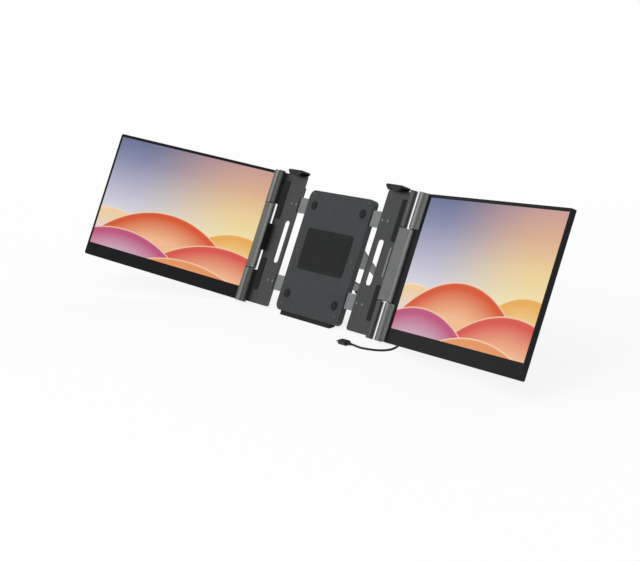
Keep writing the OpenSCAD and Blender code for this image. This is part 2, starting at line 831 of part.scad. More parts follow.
module electronics_cover() {
    y0 = back_y[right];
    color(black_plastic) on_monitor(right) difference() {
        chamfered_slab(box_x, box_x + box_w, box_z, box_z + box_h, 4, y0, box_back, 1.5);
        slab(box_x + box_wall, box_x + box_w - box_wall, box_z + box_wall, box_z + box_h - box_wall,
             4 - box_wall, y0 - cut, box_back - box_wall);
        for (i = [0, 1]) port_hole(usb_w, usb_z + i*usb_gap, usb_r);
        port_hole(hdmi_w, usb_z + 2*usb_gap, hdmi_r);
        for (i = [0:vents - 1])
            slab(vent_x(i), vent_x(i) + vent_w, box_z + box_h/2, box_z + box_h - 8, vent_w/2 - 0.01,
                 box_back - 2*box_wall, box_back + cut);
        for (i = [-1:1]) translate([box_x + box_w - 2*box_wall, port_y, button_z(i)])
            plug_length(0, 2*box_wall + cut)
                plug_outline(button_h + 2*button_fit, button_w + 2*button_fit, button_r + button_fit);
    }
}

vents = 12;
vent_w = 2;
function vent_x(i) = box_x + box_w/2 + (i - (vents - 1)/2)*2.4*vent_w - vent_w/2;

module port_hole(w, z, r) {
    translate([box_x, port_y, z]) plug_length(-cut, box_wall + 2*cut)
        plug_outline(usb_h + 2*port_fit, w + 2*port_fit, r + port_fit);
}

module control_board() {
    color(board_green) on_monitor(right) {
        difference() {
            block(box_x + 2.5, switch_x, board_y, board_y + board_t, box_z + 3,
                  box_z + box_h - 3);
            for (x = [box_x + 12, box_x + box_w - 14], z = [box_z + 8, box_z + box_h - 8])
                peg(x, z, board_y - cut, board_y + board_t + cut, 1.6);
        }
        for (x = [box_x + 12, box_x + box_w - 14], z = [box_z + 8, box_z + box_h - 8])
            peg(x, z, back_y[right], board_y, 2.6);
        block(box_x + 40, box_x + 54, board_y + board_t, board_y + board_t + 1.2, box_z + 16,
              box_z + 30);
        for (i = [-1:1]) block(switch_x - 5, switch_x, board_y + board_t, port_y + 1,
                               button_z(i) - 2.5, button_z(i) + 2.5);
    }
}

module port_shells() {
    color(steel) on_monitor(right) {
        for (i = [0, 1]) port_shell(usb_w, usb_z + i*usb_gap, usb_r);
        port_shell(hdmi_w, usb_z + 2*usb_gap, hdmi_r);
    }
}

// Drawn metal shell of a socket with its mouth at the housing's end, and the tongue with the contacts
module port_shell(w, z, r) {
    wall = 0.3;
    tongue_in = 1.2;
    translate([box_x + 0.2, port_y, z]) {
        difference() {
            plug_length(0, usb_len) plug_outline(usb_h, w, r);
            plug_length(-cut, usb_len + cut - wall)
                plug_outline(usb_h - 2*wall, w - 2*wall, r - wall);
        }
        block(tongue_in, usb_len, -tongue_t/2, tongue_t/2, -w/2 + tongue_in, w/2 - tongue_in);
    }
}

function button_z(i) = box_z + box_h/2 + i*button_gap;

module push_button(i) {
    x1 = box_x + box_w + button_out;
    flange_x = box_x + box_w - box_wall - run;
    color(dark_metal) on_monitor(right) {
        translate([flange_x, port_y, button_z(i)]) plug_length(0, x1 - flange_x)
            plug_outline(button_h, button_w, button_r);
        block(flange_x - button_flange, flange_x, port_y - button_h/2 - 0.6,
              port_y + button_h/2 + 0.6, button_z(i) - button_w/2 - 0.6,
              button_z(i) + button_w/2 + 0.6);
    }
}

// ---------- Cord ----------

function unit(v) = v/norm(v);
function way(i) = i == 0 ? unit(CORD[1] - CORD[0])
    : i == len(CORD) - 1 ? unit(CORD[i] - CORD[i - 1])
    : unit(CORD[i + 1] - CORD[i - 1]);
function across(i) = unit(cross(way(i), [0, 0, 1]));
function ring(i) = [for (k = [0:cord_sides - 1])
    CORD[i] + cord_r*(cos(k*360/cord_sides)*across(i)
                      + sin(k*360/cord_sides)*cross(across(i), way(i)))];

module usb_cable() {
    n = cord_sides;
    last = len(CORD) - 1;
    points = [for (i = [0:last]) each ring(i)];
    sides = [for (i = [0:last - 1], k = [0:n - 1])
        [i*n + k, i*n + (k + 1)%n, (i + 1)*n + (k + 1)%n, (i + 1)*n + k]];
    color(rubber_black) polyhedron(points, concat(sides, [[for (k = [n - 1:-1:0]) k]],
                                                  [[for (k = [0:n - 1]) last*n + k]]));
}

// Plug along +X from the cord's end at the origin: a tapered relief, a grip and a hollow metal tip
module plug() {
    rotate([0, 90, 0]) cylinder(h = relief_len, r1 = cord_r + 0.6, r2 = plug_t/2 - 0.4);
    plug_length(relief_len, plug_len) plug_outline(plug_t, plug_w, 2);
    plug_length(relief_len + plug_len, tip_len) difference() {
        plug_outline(tip_t, tip_w, tip_t/2 - 0.1);
        plug_outline(tip_t - 1, tip_w - 1, tip_t/2 - 0.6);
    }
}

module plug_length(x, l) {
    translate([x, 0, 0]) rotate([90, 0, 90]) linear_extrude(l) children();
}

module plug_outline(t, w, r) {
    translate([-t/2, -w/2]) rounded_rect(t, w, r);
}

module monitor_plug() {
    color(rubber_black) on_monitor(right)
        translate([box_x - 0.3 - plug_len - relief_len, port_y, usb_z]) plug();
}

module laptop_plug() {
    end = CORD[len(CORD) - 1];
    heading = way(len(CORD) - 1);
    color(rubber_black) translate(end) rotate([0, 0, atan2(heading[1], heading[0])])
        rotate([90, 0, 0]) plug();
}

front_plate();
back_shell();
lid_pad();
frame_foot();
guide_blocks();
frame_screws();
kickstand();
kickstand_pin();
kickstand_foot();
side_plate(left);  // left_side_plate
slide_bars(left);  // left_slide_bars
plate_pads(left);  // left_plate_pads
side_claw(left);  // left_side_claw
claw_pad(left);  // left_claw_pad
claw_screws(left);  // left_claw_screws
hook_guide(left);  // left_hook_guide
top_hook(left);  // left_top_hook
hook_pad(left);  // left_hook_pad
hinge_link(left);  // left_hinge_link
frame_pin(left);  // left_frame_pin
monitor_pin(left);  // left_monitor_pin
hinge_washers(left);  // left_hinge_washers
side_plate(right);  // right_side_plate
slide_bars(right);  // right_slide_bars
plate_pads(right);  // right_plate_pads
side_claw(right);  // right_side_claw
claw_pad(right);  // right_claw_pad
claw_screws(right);  // right_claw_screws
hook_guide(right);  // right_hook_guide
top_hook(right);  // right_top_hook
hook_pad(right);  // right_hook_pad
hinge_link(right);  // right_hinge_link
frame_pin(right);  // right_frame_pin
monitor_pin(right);  // right_monitor_pin
hinge_washers(right);  // right_hinge_washers
hinge_leaf(left, 1);  // left_upper_leaf
hinge_leaf(left, 0);  // left_lower_leaf
leaf_screws(left);  // left_leaf_screws
rear_cover(left);  // left_rear_cover
front_bezel(left);  // left_front_bezel
screen_glass(left);  // left_screen_glass
lcd_module(left);  // left_lcd_module
driver_board();  // left_driver_board
hinge_leaf(right, 1);  // right_upper_leaf
hinge_leaf(right, 0);  // right_lower_leaf
leaf_screws(right);  // right_leaf_screws
rear_cover(right);  // right_rear_cover
front_bezel(right);  // right_front_bezel
screen_glass(right);  // right_screen_glass
lcd_module(right);  // right_lcd_module
electronics_cover();
control_board();
port_shells();
push_button(-1);  // power_button
push_button(0);  // plus_button
push_button(1);  // minus_button
usb_cable();
monitor_plug();
laptop_plug();
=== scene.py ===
import json
import math

import bpy
from mathutils import Matrix, Vector


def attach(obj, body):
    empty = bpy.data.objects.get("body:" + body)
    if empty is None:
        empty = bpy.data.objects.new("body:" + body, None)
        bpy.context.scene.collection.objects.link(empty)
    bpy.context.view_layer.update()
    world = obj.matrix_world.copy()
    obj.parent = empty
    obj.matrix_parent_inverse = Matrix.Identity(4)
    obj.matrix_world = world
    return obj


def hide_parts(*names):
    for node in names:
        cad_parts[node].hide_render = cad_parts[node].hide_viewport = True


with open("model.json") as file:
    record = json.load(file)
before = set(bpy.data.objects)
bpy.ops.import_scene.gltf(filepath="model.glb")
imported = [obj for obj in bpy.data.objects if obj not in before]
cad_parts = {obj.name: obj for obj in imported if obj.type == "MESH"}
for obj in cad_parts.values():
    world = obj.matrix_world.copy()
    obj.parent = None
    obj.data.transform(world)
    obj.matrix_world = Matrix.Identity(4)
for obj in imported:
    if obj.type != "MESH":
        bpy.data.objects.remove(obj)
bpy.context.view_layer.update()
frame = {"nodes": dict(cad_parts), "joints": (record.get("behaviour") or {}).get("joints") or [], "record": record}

# ---------- Room ----------
# A white paper sweep under wide soft lamps. To the camera it is nearly white round the object,
# where it takes the soft shadow, and plain white further off. In gloss and glass it is plain white.


def linear(text):
    """An sRGB hex colour as linear red, green, blue and alpha."""
    parts = [int(text[i:i + 2], 16) / 255 for i in (0, 2, 4)]
    return [c / 12.92 if c <= 0.04045 else ((c + 0.055) / 1.055) ** 2.4 for c in parts] + [1.0]


def add_node(tree, kind, inputs=None, stops=(), **settings):
    """Adds a node, sets its settings and its ramp's colour stops, and sets or links its inputs."""
    made = tree.nodes.new(kind)
    for name, value in settings.items():
        setattr(made, name, value)
    for i, (place, text) in enumerate(stops):
        stop = made.color_ramp.elements[i] if i < 2 else made.color_ramp.elements.new(place)
        stop.position = place
        stop.color = linear(text)
    for name, value in (inputs or {}).items():
        if isinstance(value, bpy.types.NodeSocket):
            tree.links.new(value, made.inputs[name])
        else:
            made.inputs[name].default_value = value
    return made


def new_material(name):
    """A material whose tree is empty, and that tree."""
    made = bpy.data.materials.new(name)
    made.use_nodes = True
    made.node_tree.nodes.clear()
    return made, made.node_tree


def dress(obj, material):
    """Gives every face of obj this material."""
    obj.data.materials.clear()
    obj.data.materials.append(material)


scene = bpy.context.scene
scene.view_settings.view_transform = "Standard"

floor_size, floor_drop = 60, 0.0002
# how far from the object the sheet starts and stops turning to plain white, in metres
shadow_reach, plain_from = 0.5, 3.0
bpy.ops.object.select_all(action="DESELECT")
bpy.ops.mesh.primitive_plane_add(size=floor_size, location=(0, 0, -floor_drop))
floor = bpy.context.active_object
floor.name = "studio_floor"

# matt white paper: no gloss, so only the shadow shows on it
paper, tree = new_material("matt_white_paper")
light_path = add_node(tree, "ShaderNodeLightPath")
sheet = add_node(tree, "ShaderNodeBsdfDiffuse", {"Color": linear("fdfdfd")})
white = add_node(tree, "ShaderNodeEmission", {"Color": linear("ffffff"), "Strength": 1.0})
floor_spot = add_node(tree, "ShaderNodeTexCoord").outputs["Object"]
far_off = add_node(tree, "ShaderNodeVectorMath", {0: floor_spot}, operation="LENGTH")
lift = add_node(tree, "ShaderNodeMapRange", {0: far_off.outputs["Value"], 1: shadow_reach,
                                             2: plain_from, 3: 0.84, 4: 1.0})
lifted = add_node(tree, "ShaderNodeMath", {0: light_path.outputs["Is Camera Ray"],
                                           1: lift.outputs[0]}, operation="MULTIPLY")
seen_paper = add_node(tree, "ShaderNodeMixShader", {0: lifted.outputs[0], 1: sheet.outputs[0],
                                                    2: white.outputs[0]})
mirrored = add_node(tree, "ShaderNodeMath", {0: light_path.outputs["Is Glossy Ray"],
                                             1: light_path.outputs["Is Transmission Ray"]},
                    operation="MAXIMUM")
floor_mix = add_node(tree, "ShaderNodeMixShader", {0: mirrored.outputs[0], 1: seen_paper.outputs[0],
                                                   2: white.outputs[0]})
add_node(tree, "ShaderNodeOutputMaterial", {"Surface": floor_mix.outputs[0]})
dress(floor, paper)

sky = bpy.data.worlds.new("studio_light")
sky.use_nodes = True
tree = sky.node_tree
tree.nodes.clear()
light_path = add_node(tree, "ShaderNodeLightPath")
backdrop_seen = add_node(tree, "ShaderNodeMath", {0: light_path.outputs["Is Camera Ray"],
                                                  1: light_path.outputs["Is Transmission Ray"]},
                         operation="MAXIMUM")
around = add_node(tree, "ShaderNodeBackground", {"Color": linear("f2f4f6"), "Strength": 0.75})
backdrop = add_node(tree, "ShaderNodeBackground", {"Color": linear("ffffff"), "Strength": 1.0})
sky_mix = add_node(tree, "ShaderNodeMixShader", {0: backdrop_seen.outputs[0], 1: around.outputs[0],
                                                 2: backdrop.outputs[0]})
add_node(tree, "ShaderNodeOutputWorld", {"Surface": sky_mix.outputs[0]})
scene.world = sky


def soft_lamp(name, place, side, watts):
    """A square lamp that shines at the object's middle."""
    middle = Vector((0, 0, 0.1))
    light = bpy.data.lights.new(name, "AREA")
    light.shape = "SQUARE"
    light.size = side
    light.energy = watts
    lamp = bpy.data.objects.new(name, light)
    lamp.location = place
    lamp.rotation_mode = "QUATERNION"
    lamp.rotation_quaternion = (middle - Vector(place)).to_track_quat("-Z", "Y")
    scene.collection.objects.link(lamp)


soft_lamp("key_lamp", (0.4, -1.8, 2.4), side=1.8, watts=20)
soft_lamp("back_lamp", (-1.0, 2.0, 2.2), side=1.6, watts=14)

# ---------- Camera ----------
# A long lens to the right of the object and a little above it, rolled so that the table's far edge
# drops to the right.

camera_yaw = math.radians(58.375)
camera_pitch = math.radians(-14.40)
camera_roll = math.radians(-7.844)
camera_place = (1.9995, -1.1976, 0.6580)

camera_data = bpy.data.cameras.new("camera")
camera_data.lens = 89.0
camera_data.sensor_width = 36
camera_data.clip_end = 100
camera = bpy.data.objects.new("camera", camera_data)
camera.matrix_world = (Matrix.Translation(camera_place)
                       @ Matrix.Rotation(camera_yaw, 4, "Z")
                       @ Matrix.Rotation(math.pi / 2 + camera_pitch, 4, "X")
                       @ Matrix.Rotation(camera_roll, 4, "Z"))
scene.collection.objects.link(camera)
scene.camera = camera

# ---------- USB-C cord ----------
# One thin flexible lead in a matt thermoplastic jacket, with a moulded plug at each end. It leaves
# the plug behind the right monitor, drops under the monitor's lower edge and runs over the table.

MM = 0.001
CORD = [
    (251.8, 7, 16.1), (246, 7.7, 15.7), (240, 9.5, 13.6), (235.5, 11, 9.6), (234, 9.5, 5.2),
    (235, 5, 2.5), (237.5, 0, 1.8), (240.5, -7, 1.7), (241.3, -13.5, 1.7), (238.8, -19.8, 1.7),
    (233.2, -24.9, 1.7), (225.5, -28.8, 1.7), (216.5, -31.7, 1.7), (206.5, -33.8, 1.7),
    (196.5, -35.4, 1.8), (187, -36.3, 2.6), (180.5, -36.6, 3.3), (174, -36.6, 3.3),
]
cord_radius = 1.6 * MM
cord_points = [Vector(point) * MM for point in CORD]

line = bpy.data.curves.new("usb_cord", "CURVE")
line.dimensions = "3D"
line.resolution_u = 8
line.bevel_depth = cord_radius
line.bevel_resolution = 5
line.use_fill_caps = True
spline = line.splines.new("BEZIER")
spline.bezier_points.add(len(cord_points) - 1)
for knot, point in zip(spline.bezier_points, cord_points):
    knot.co = point
    knot.handle_left_type = knot.handle_right_type = "AUTO"
cord = bpy.data.objects.new("usb_cord", line)
scene.collection.objects.link(cord)


def grained(name, dark, light, roughness, grit, relief, patch, metallic=0.0, ior=1.5, shine=0.25):
    """A surface with a fine grit in relief and a broad patchiness of tone. grit, relief and patch
    are in millimetres, and a grit too fine to show is drawn coarser than it is. shine is the
    strength of the gloss, 0.5 at its full amount."""
    made, tree = new_material(name)
    place = add_node(tree, "ShaderNodeTexCoord").outputs["Object"]
    fine = add_node(tree, "ShaderNodeTexNoise", {"Vector": place, "Scale": 1 / (grit * MM),
                                                 "Detail": 2.0})
    broad = add_node(tree, "ShaderNodeTexNoise", {"Vector": place, "Scale": 1 / (patch * MM),
                                                  "Detail": 4.0, "Roughness": 0.6})
    both = add_node(tree, "ShaderNodeMath", {0: fine.outputs[0], 1: broad.outputs[0]},
                    operation="ADD")
    tone = add_node(tree, "ShaderNodeMapRange", {0: both.outputs[0], 1: 0.7, 2: 1.3})
    colour = add_node(tree, "ShaderNodeMix", {0: tone.outputs[0], 6: linear(dark),
                                              7: linear(light)}, data_type="RGBA")
    swing = 0.035 if metallic else 0.015
    gloss = add_node(tree, "ShaderNodeMapRange", {0: broad.outputs[0], 1: 0.3, 2: 0.7,
                                                  3: roughness - swing, 4: roughness + swing})
    bumps = add_node(tree, "ShaderNodeBump", {"Height": fine.outputs[0], "Strength": 0.5,
                                              "Distance": relief * MM})
    skin = add_node(tree, "ShaderNodeBsdfPrincipled", {
        "Base Color": colour.outputs[2], "Metallic": metallic, "IOR": ior,
        "Specular IOR Level": 0.5 if metallic else shine,
        "Roughness": gloss.outputs[0], "Normal": bumps.outputs[0]})
    add_node(tree, "ShaderNodeOutputMaterial", {"Surface": skin.outputs[0]})
    return made


# extruded thermoplastic elastomer, matt: a broad soft sheen and a slight drag grain, which is drawn
# coarser than it is so that it shows
cable_jacket = grained("extruded_tpe_jacket", "18191a", "242628", roughness=0.5, grit=0.7,
                       relief=0.05, patch=5)
dress(cord, cable_jacket)
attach(cord, "right_monitor")
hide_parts("usb_cable")


def frame_of(origin, across, away, up):
    """The matrix from millimetres on a carrier, X across, Y away and Z up, to the row frame."""
    return Matrix([[across[i] * MM, away[i] * MM, up[i] * MM, origin[i]] for i in range(3)]
                  + [[0, 0, 0, 1]])


joints = {joint["name"]: joint for joint in frame["joints"]}
lid_up = Vector(joints["left_link_hinge"]["axis"])
lid_away = Vector((0, lid_up.z, -lid_up.y))
# the hinges' joints stand this far up their pins, from where the heights start
joint_height = 99


def monitor_frame(side):
    """Z is the monitor's hinge pin, X runs outwards along the monitor and Y to its back."""
    hinge = joints[side + "_monitor_hinge"]
    wing = math.radians(-hinge["range_deg"][0])
    out = Vector((1 if side == "right" else -1, 0, 0))
    return frame_of(Vector(hinge["pos_m"]) - lid_up * joint_height * MM,
                    out * math.cos(wing) - lid_away * math.sin(wing),
                    out * math.sin(wing) + lid_away * math.cos(wing), lid_up)


def add_block(name, low, high):
    """A block between two corners, in millimetres."""
    bpy.ops.object.select_all(action="DESELECT")
    bpy.ops.mesh.primitive_cube_add(size=1, location=[(a + b) / 2 for a, b in zip(low, high)])
    made = bpy.context.active_object
    made.name = made.data.name = name
    made.scale = [b - a for a, b in zip(low, high)]
    bpy.ops.object.transform_apply()
    return made


def leave_edit_mode():
    """Goes back to object mode where a piece is still being edited."""
    if bpy.context.mode != "OBJECT":
        bpy.ops.object.mode_set(mode="OBJECT")


def select(obj, kind, test):
    """Goes into edit mode with only the faces, edges or vertices of obj that pass test selected."""
    leave_edit_mode()
    bpy.ops.object.select_all(action="DESELECT")
    obj.select_set(True)
    bpy.context.view_layer.objects.active = obj
    kinds = ("vertices", "edges", "polygons")
    bpy.context.tool_settings.mesh_select_mode = [kind == each for each in kinds]
    bpy.ops.object.mode_set(mode="EDIT")
    bpy.ops.mesh.select_all(action="DESELECT")
    bpy.ops.object.mode_set(mode="OBJECT")
    for item in getattr(obj.data, kind):
        item.select = bool(test(item))
    bpy.ops.object.mode_set(mode="EDIT")


def ends(obj, edge):
    """The two ends of an edge."""
    return [obj.data.vertices[i].co for i in edge.vertices]


def along(obj, edge, axis):
    """True for an edge that runs along this axis, 0, 1 or 2."""
    a, b = ends(obj, edge)
    gap = b - a
    return abs(gap[axis]) > 0.999 * gap.length


def round_edges(obj, width, segments, test):
    """Rounds the edges that pass test."""
    select(obj, "edges", test)
    bpy.ops.mesh.bevel(offset=width, segments=segments, affect="EDGES", clamp_overlap=True)
    bpy.ops.object.mode_set(mode="OBJECT")


def soften(obj, width, segments=2, angle=35):
    """Rounds every sharp edge of a piece with a Bevel modifier, and shades it smooth."""
    bevel = obj.modifiers.new("soft_edges", "BEVEL")
    bevel.width = width
    bevel.segments = segments
    bevel.limit_method = "ANGLE"
    bevel.angle_limit = math.radians(angle)
    bevel.use_clamp_overlap = True
    finish_mesh(obj, angle)


def finish_mesh(obj, angle=35):
    """Applies the modifiers and shades smooth up to this angle."""
    leave_edit_mode()
    bpy.ops.object.select_all(action="DESELECT")
    obj.select_set(True)
    bpy.context.view_layer.objects.active = obj
    for modifier in list(obj.modifiers):
        bpy.ops.object.modifier_apply(modifier=modifier.name)
    bpy.ops.object.shade_smooth_by_angle(angle=math.radians(angle))


def even_shading(obj):
    """Lets the large flat faces set the shading along their rounded edges."""
    weigh = obj.modifiers.new("even_shading", "WEIGHTED_NORMAL")
    weigh.keep_sharp = True
    bpy.ops.object.select_all(action="DESELECT")
    obj.select_set(True)
    bpy.context.view_layer.objects.active = obj
    bpy.ops.object.modifier_apply(modifier=weigh.name)


def join(name, *parts):
    """One piece from several shells."""
    bpy.ops.object.select_all(action="DESELECT")
    for part in parts:
        part.select_set(True)
    bpy.context.view_layer.objects.active = parts[0]
    bpy.ops.object.join()
    made = bpy.context.active_object
    made.name = made.data.name = name
    return made


def fasten(obj, place, body, material, slot, *stands_for):
    """Takes a piece from its carrier's millimetres into the row frame, and ties it to its body."""
    obj.data.transform(place)
    if place.determinant() < 0:
        obj.data.flip_normals()
    even_shading(obj)
    dress(obj, material)
    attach(obj, body)
    if stands_for:
        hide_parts(*stands_for)


right_monitor = monitor_frame("right")
cord_start = right_monitor.inverted() @ cord_points[0]
relief_length, grip_length, tip_length = 8, 18, 6.6
grip_thick, grip_wide, tip_thick, tip_wide = 6.4, 10.6, 2.4, 8.2
tip_sunk, tip_wall = 0.5, 0.4
# the share of its width that the relief keeps between two ribs
waist = 0.86

# overmoulded polyvinyl: a little glossier than the jacket, from a spark-eroded mould
plug_skin = grained("overmoulded_pvc_grip", "17181a", "232528", roughness=0.42, grit=0.6,
                    relief=0.04, patch=6)
# deep-drawn steel with bright nickel plate
plug_plate = grained("nickel_plated_shell", "b3b5b4", "cfd0cd", roughness=0.24, grit=1.5,
                     relief=0.01, patch=5, metallic=1.0)


def plug(name, place, body, node):
    """A plug along +X from the cord's end: tapered ribbed relief, moulded grip and hollow tip."""
    bpy.ops.object.select_all(action="DESELECT")
    bpy.ops.mesh.primitive_cone_add(vertices=24, radius1=cord_radius / MM + 0.6,
                                    radius2=grip_thick / 2 - 0.4, depth=relief_length,
                                    rotation=(0, math.pi / 2, 0),
                                    location=(relief_length / 2, 0, 0))
    relief = bpy.context.active_object
    bpy.ops.object.transform_apply()
    select(relief, "edges", lambda e: abs(ends(relief, e)[0].x - ends(relief, e)[1].x) > 1)
    bpy.ops.mesh.subdivide(number_cuts=7)
    bpy.ops.object.mode_set(mode="OBJECT")
    # every second ring of the relief is drawn in, which leaves four flexing ribs
    for vertex in relief.data.vertices:
        if round(vertex.co.x) % 2 and 0.5 < vertex.co.x < relief_length - 0.5:
            vertex.co.y *= waist
            vertex.co.z *= waist
    soften(relief, 0.15)

    grip = add_block(name, (relief_length, -grip_thick / 2, -grip_wide / 2),
                     (relief_length + grip_length, grip_thick / 2, grip_wide / 2))
    round_edges(grip, 2, 6, lambda e: along(grip, e, 0))
    select(grip, "polygons", lambda f: abs(f.normal.y) > 0.999)
    bpy.ops.mesh.inset(thickness=1.1)
    bpy.ops.mesh.inset(thickness=0.35, depth=-0.3)
    soften(grip, 0.5, 3)
    grip = join(name, grip, relief)

    tip_root = relief_length + grip_length - tip_sunk
    tip = add_block(name + "_tip", (tip_root, -tip_thick / 2, -tip_wide / 2),
                    (tip_root + tip_sunk + tip_length, tip_thick / 2, tip_wide / 2))
    round_edges(tip, tip_thick / 2 - 0.1, 6, lambda e: along(tip, e, 0))
    select(tip, "polygons", lambda f: f.normal.x > 0.99)
    bpy.ops.mesh.inset(thickness=tip_wall)
    inwards = (tip_sunk - tip_length, 0, 0)
    bpy.ops.mesh.extrude_region_move(TRANSFORM_OT_translate={"value": inwards})
    soften(tip, 0.1)

    fasten(grip, place, body, plug_skin, "plug", node)
    fasten(tip, place, body, plug_plate, "port_metal")
    return [grip, tip]


laptop_heading = (cord_points[-1] - cord_points[-2]).normalized()
laptop_heading.z = 0
laptop_heading.normalize()
laptop_place = frame_of(cord_points[-1], laptop_heading, (0, 0, -1),
                        laptop_heading.cross((0, 0, -1)))
monitor_place = right_monitor @ Matrix.Translation(cord_start)
plug_pieces = (plug("monitor_plug_grip", monitor_place, "right_monitor", "monitor_plug")
               + plug("laptop_plug_grip", laptop_place, "right_monitor", "laptop_plug"))

# ---------- Back frame housing ----------
# The part that stands behind the lid: two ABS mouldings from a spark-eroded tool, a flat front
# plate screwed onto a hollow back, with guide blocks inside for the slide bars.

nodes = frame["nodes"]
carrier = {node: body for body, names in frame["record"]["behaviour"]["bodies"].items()
           for node in names}


def softened(name, node, rounding, material, angle=30):
    """Stands a copy of a solid in for it, with its flat faces merged and its sharp edges rounded by
    this many millimetres."""
    made = bpy.data.objects.new(name, nodes[node].data.copy())
    scene.collection.objects.link(made)
    select(made, "vertices", lambda v: True)
    bpy.ops.mesh.customdata_custom_splitnormals_clear()
    bpy.ops.mesh.remove_doubles(threshold=0.001 * MM)
    bpy.ops.mesh.dissolve_limited(angle_limit=math.radians(1))
    bpy.ops.object.mode_set(mode="OBJECT")
    soften(made, rounding * MM, angle=angle)
    even_shading(made)
    dress(made, material)
    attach(made, carrier[node])
    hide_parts(node)
    return made


# moulded ABS, charcoal: an even matt skin with a pebble, drawn coarser than it is so that it shows
shell_abs = grained("moulded_charcoal_abs", "36393a", "3f4243", roughness=0.5, grit=0.9,
                    relief=0.06, patch=14)
# moulded black ABS of the covers: the same skin, a little finer and darker
cover_abs = grained("moulded_black_abs", "171718", "1b1b1d", roughness=0.5, grit=0.8, relief=0.05,
                    patch=9, shine=0.16)

softened("frame_front_plate", "front_plate", 0.3, shell_abs)
softened("frame_back_shell", "back_shell", 0.5, shell_abs)
softened("slide_guide_blocks", "guide_blocks", 0.3, cover_abs)

# ---------- Frame screws ----------
# Six pan-head screws hold the front plate on the back shell's bosses. They are turned steel with a
# cross recess and a black zinc plate.

# where the row frame's origin lies on the lid's frame, away and up: the middle of the foot
foot_y, foot_z = 12.5, -12.4
# the front plate's face
plate_front = 7.2
frame_screw_out, frame_screw_heights = 75, (4, 90, 182.5)


def lid_frame(side="right"):
    """X runs across the lid from its middle, outwards on this side, Y to its back and Z up."""
    out = Vector((1 if side == "right" else -1, 0, 0))
    return frame_of(-(lid_away * foot_y + lid_up * foot_z) * MM, out, lid_away, lid_up)


def turned(name, profile, axis, steps=32):
    """A piece turned about the Y or Z axis from its half profile of radius and height."""
    points = [(r, h, 0) if axis == "Y" else (r, 0, h) for r, h in profile]
    mesh = bpy.data.meshes.new(name)
    mesh.from_pydata(points, [(i, i + 1) for i in range(len(points) - 1)], [])
    made = bpy.data.objects.new(name, mesh)
    scene.collection.objects.link(made)
    select(made, "vertices", lambda v: True)
    bpy.ops.mesh.spin(steps=steps, angle=2 * math.pi, center=(0, 0, 0),
                      axis=(0, 1, 0) if axis == "Y" else (0, 0, 1))
    bpy.ops.mesh.select_all(action="SELECT")
    bpy.ops.mesh.remove_doubles(threshold=0.001)
    bpy.ops.mesh.normals_make_consistent(inside=False)
    bpy.ops.object.mode_set(mode="OBJECT")
    return made


def carve(obj, cutter):
    """Cuts one piece out of another."""
    cut = obj.modifiers.new("cut", "BOOLEAN")
    cut.operation = "DIFFERENCE"
    cut.solver = "EXACT"
    cut.object = cutter
    bpy.ops.object.select_all(action="DESELECT")
    obj.select_set(True)
    bpy.context.view_layer.objects.active = obj
    bpy.ops.object.modifier_apply(modifier=cut.name)
    bpy.data.objects.remove(cutter)


def repeated(name, model, places):
    """One piece from copies of a model, one for each place. The model itself is used up."""
    made = []
    for place in places:
        copy = bpy.data.objects.new(name, model.data.copy())
        scene.collection.objects.link(copy)
        copy.data.transform(place)
        if place.determinant() < 0:
            copy.data.flip_normals()
        made.append(copy)
    bpy.data.objects.remove(model)
    return join(name, *made)


def pan_head_screw(head, head_tall, shank, length):
    """A screw along Y that seats at Y = 0, with a cross recess in its head."""
    made = turned("screw", [
        (0, -length), (shank - 0.3, -length), (shank, 0.3 - length), (shank, 0), (head - 0.1, 0),
        (head, 0.1), (head, 0.4 * head_tall), (0.9 * head, 0.75 * head_tall),
        (0.7 * head, 0.95 * head_tall), (0.4 * head, head_tall), (0, head_tall)], "Y")
    reach, wide = 0.55 * head, 0.13 * head
    for across, up in ((reach, wide), (wide, reach)):
        carve(made, add_block("recess", (-across, 0.35 * head_tall, -up),
                              (across, 2 * head_tall, up)))
    finish_mesh(made, 25)
    return made


# black-zinc plated steel: dark and satin, and paler where the light catches the head's rim
screw_zinc = grained("black_zinc_plated_steel", "5c5e5f", "747676", roughness=0.3, grit=0.8,
                     relief=0.01, patch=4, metallic=1.0)

facing_user = Matrix.Rotation(math.pi, 4, "Z")
frame_screw_spots = [(x, plate_front, z) for x in (-frame_screw_out, frame_screw_out)
                     for z in frame_screw_heights]
frame_screws = repeated("frame_screw_set",
                        pan_head_screw(head=2.8, head_tall=0.8, shank=1.5, length=6.2),
                        [Matrix.Translation(spot) @ facing_user for spot in frame_screw_spots])
fasten(frame_screws, lid_frame(), "frame", screw_zinc, "screws", "frame_screws")

# ---------- Lid pad ----------
# A ribbed mat and four dots that the laptop's lid rests on. They are moulded in silicone and bonded
# to the front plate.


def ribbed_mat(name, low, high, corner, pitch):
    """A mat that faces -Y, with rounded corners and rounded ribs across it, each sunk a little into
    the mat."""
    rib_tall, rib_sunk = 0.35, 0.1
    mat = add_block(name, (low[0], low[1] + rib_tall, low[2]), high)
    round_edges(mat, corner, 8, lambda e: along(mat, e, 1))
    soften(mat, 0.2)
    rib = add_block("rib", (low[0] + corner, low[1], low[2] + corner - pitch / 4),
                    (high[0] - corner, low[1] + rib_tall + rib_sunk, low[2] + corner + pitch / 4))
    round_edges(rib, 0.3, 3, lambda e: along(rib, e, 0) and ends(rib, e)[0].y < low[1] + 0.01)
    rows = rib.modifiers.new("rows", "ARRAY")
    rows.use_relative_offset = False
    rows.use_constant_offset = True
    rows.constant_offset_displace = (0, 0, pitch)
    rows.count = int((high[2] - low[2] - 2 * corner) / pitch) + 1
    finish_mesh(rib)
    return join(name, mat, rib)


# compression-moulded silicone: matt and slightly velvety, and it gathers pale dust in patches
silicone = grained("moulded_black_silicone", "1a1b1b", "252727", roughness=0.62, grit=0.7,
                   relief=0.03, patch=9, ior=1.42)

